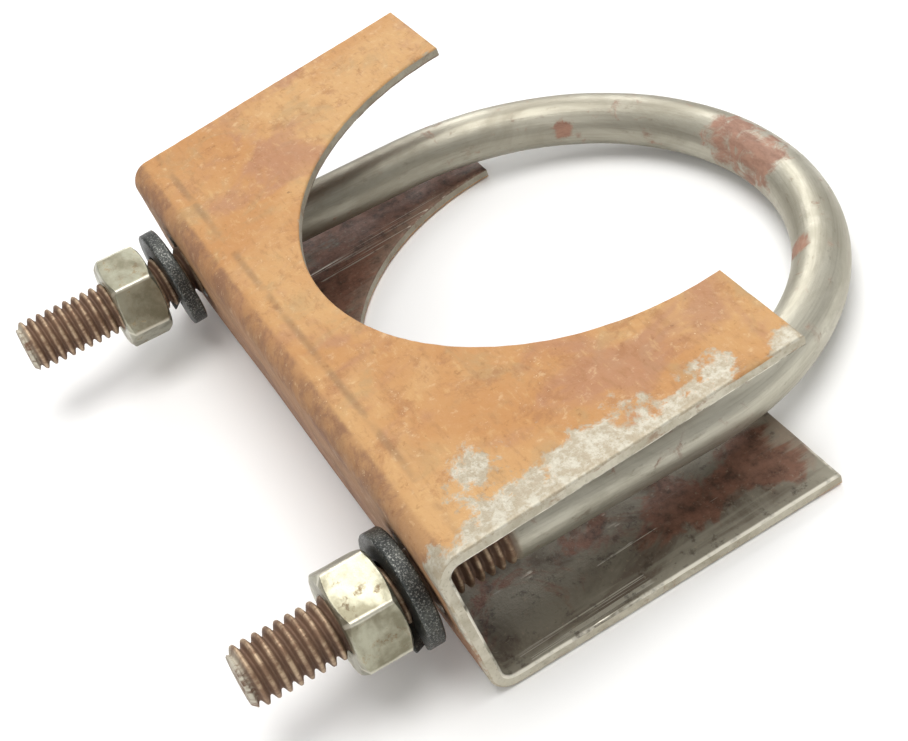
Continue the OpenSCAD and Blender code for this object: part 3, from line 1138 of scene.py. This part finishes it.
# The saddle gets its materials before its holes are cut, so that their walls are bare steel
saddle = build_saddle()
for saddle_material in (rusty_outside(), dark_inside(), sheared_edge()):
    saddle.data.materials.append(saddle_material)
finish_saddle(saddle)
add_piece(saddle, [], "saddle_body", "saddle")
add_piece(build_u_bolt(), [rod_steel()], "u_bolt_body", "u_bolt")

zinc = nut_zinc()
black = washer_steel()
for side_name in SIDE:
    washer_body = side_name + "_washer_body"
    nut_body = side_name + "_nut_body"
    add_piece(build_washer(side_name), [black], washer_body, side_name + "_washer")
    add_piece(build_nut(side_name), [zinc], nut_body, side_name + "_nut")


# ---- stage, light and camera
FLOOR_SIZE = 4.0
# The room's brightness goes from the horizon's share up to full at this height of the view
HORIZON_LIGHT = 0.25
ZENITH_FROM = 0.75
ROOM_STRENGTH = 0.66

CAMERA_AT = (0.16758, -0.06615, 0.13729)
CAMERA_TARGET = (0.01345, -0.02822, 0.00077)
CAMERA_ROLL = radians(-21.90)
CAMERA_LENS = 64.38
SENSOR_WIDTH = 36
CLIP = (0.01, 20)


def add_floor():
    half = FLOOR_SIZE / 2
    corners = [(-half, -half), (half, -half), (half, half), (-half, half)]
    floor = mesh_object("floor", [(x, y, FLOOR_Z) for x, y in corners], [(0, 1, 2, 3)])
    floor.data.materials.append(floor_paper())


def aim(obj, target, roll=0.0):
    """Points an object's -Z axis at the target, turned about it by the roll."""
    direction = Vector(target) - obj.location
    turn = direction.to_track_quat("-Z", "Y").to_matrix().to_4x4()
    obj.matrix_world = Matrix.Translation(obj.location) @ turn @ Matrix.Rotation(roll, 4, "Z")


def add_light(name, location, size, power, colour=(1, 1, 1)):
    """A round soft light aimed at the object."""
    light = bpy.data.lights.new(name, "AREA")
    light.shape = "DISK"
    light.size = size
    light.energy = power
    light.color = colour
    obj = bpy.data.objects.new(name, light)
    bpy.context.scene.collection.objects.link(obj)
    obj.location = location
    aim(obj, (0, 0, 0))


def add_world():
    """Soft room: bright overhead, darker towards the horizon, so that metal shows its shape."""
    world = bpy.data.worlds.new("studio")
    bpy.context.scene.world = world
    world.use_nodes = True
    tree = world.node_tree
    background = tree.nodes["Background"]
    coords = tree.nodes.new("ShaderNodeTexCoord")
    split = tree.nodes.new("ShaderNodeSeparateXYZ")
    ramp = tree.nodes.new("ShaderNodeMapRange")
    ramp.interpolation_type = "SMOOTHSTEP"
    ramp.inputs["From Min"].default_value = 0.0
    ramp.inputs["From Max"].default_value = ZENITH_FROM
    ramp.inputs["To Min"].default_value = HORIZON_LIGHT
    ramp.inputs["To Max"].default_value = 1.0
    tree.links.new(coords.outputs["Generated"], split.inputs[0])
    tree.links.new(split.outputs["Z"], ramp.inputs["Value"])
    tree.links.new(ramp.outputs["Result"], background.inputs["Color"])
    background.inputs["Strength"].default_value = ROOM_STRENGTH


def add_camera():
    data = bpy.data.cameras.new("camera")
    data.lens = CAMERA_LENS
    data.sensor_width = SENSOR_WIDTH
    data.clip_start, data.clip_end = CLIP
    camera = bpy.data.objects.new("camera", data)
    bpy.context.scene.collection.objects.link(camera)
    camera.location = CAMERA_AT
    aim(camera, CAMERA_TARGET, CAMERA_ROLL)
    bpy.context.scene.camera = camera


add_floor()
add_light("overhead", (0.05, 0.05, 0.9), size=0.7, power=5.6, colour=(1.0, 0.99, 0.97))
add_light("back_left", (-0.8, 0.35, 0.55), size=0.5, power=3.4)
add_light("front_fill", (0.7, -0.7, 0.5), size=0.6, power=1.8)
add_world()
add_camera()
bpy.context.scene.view_settings.view_transform = "Standard"
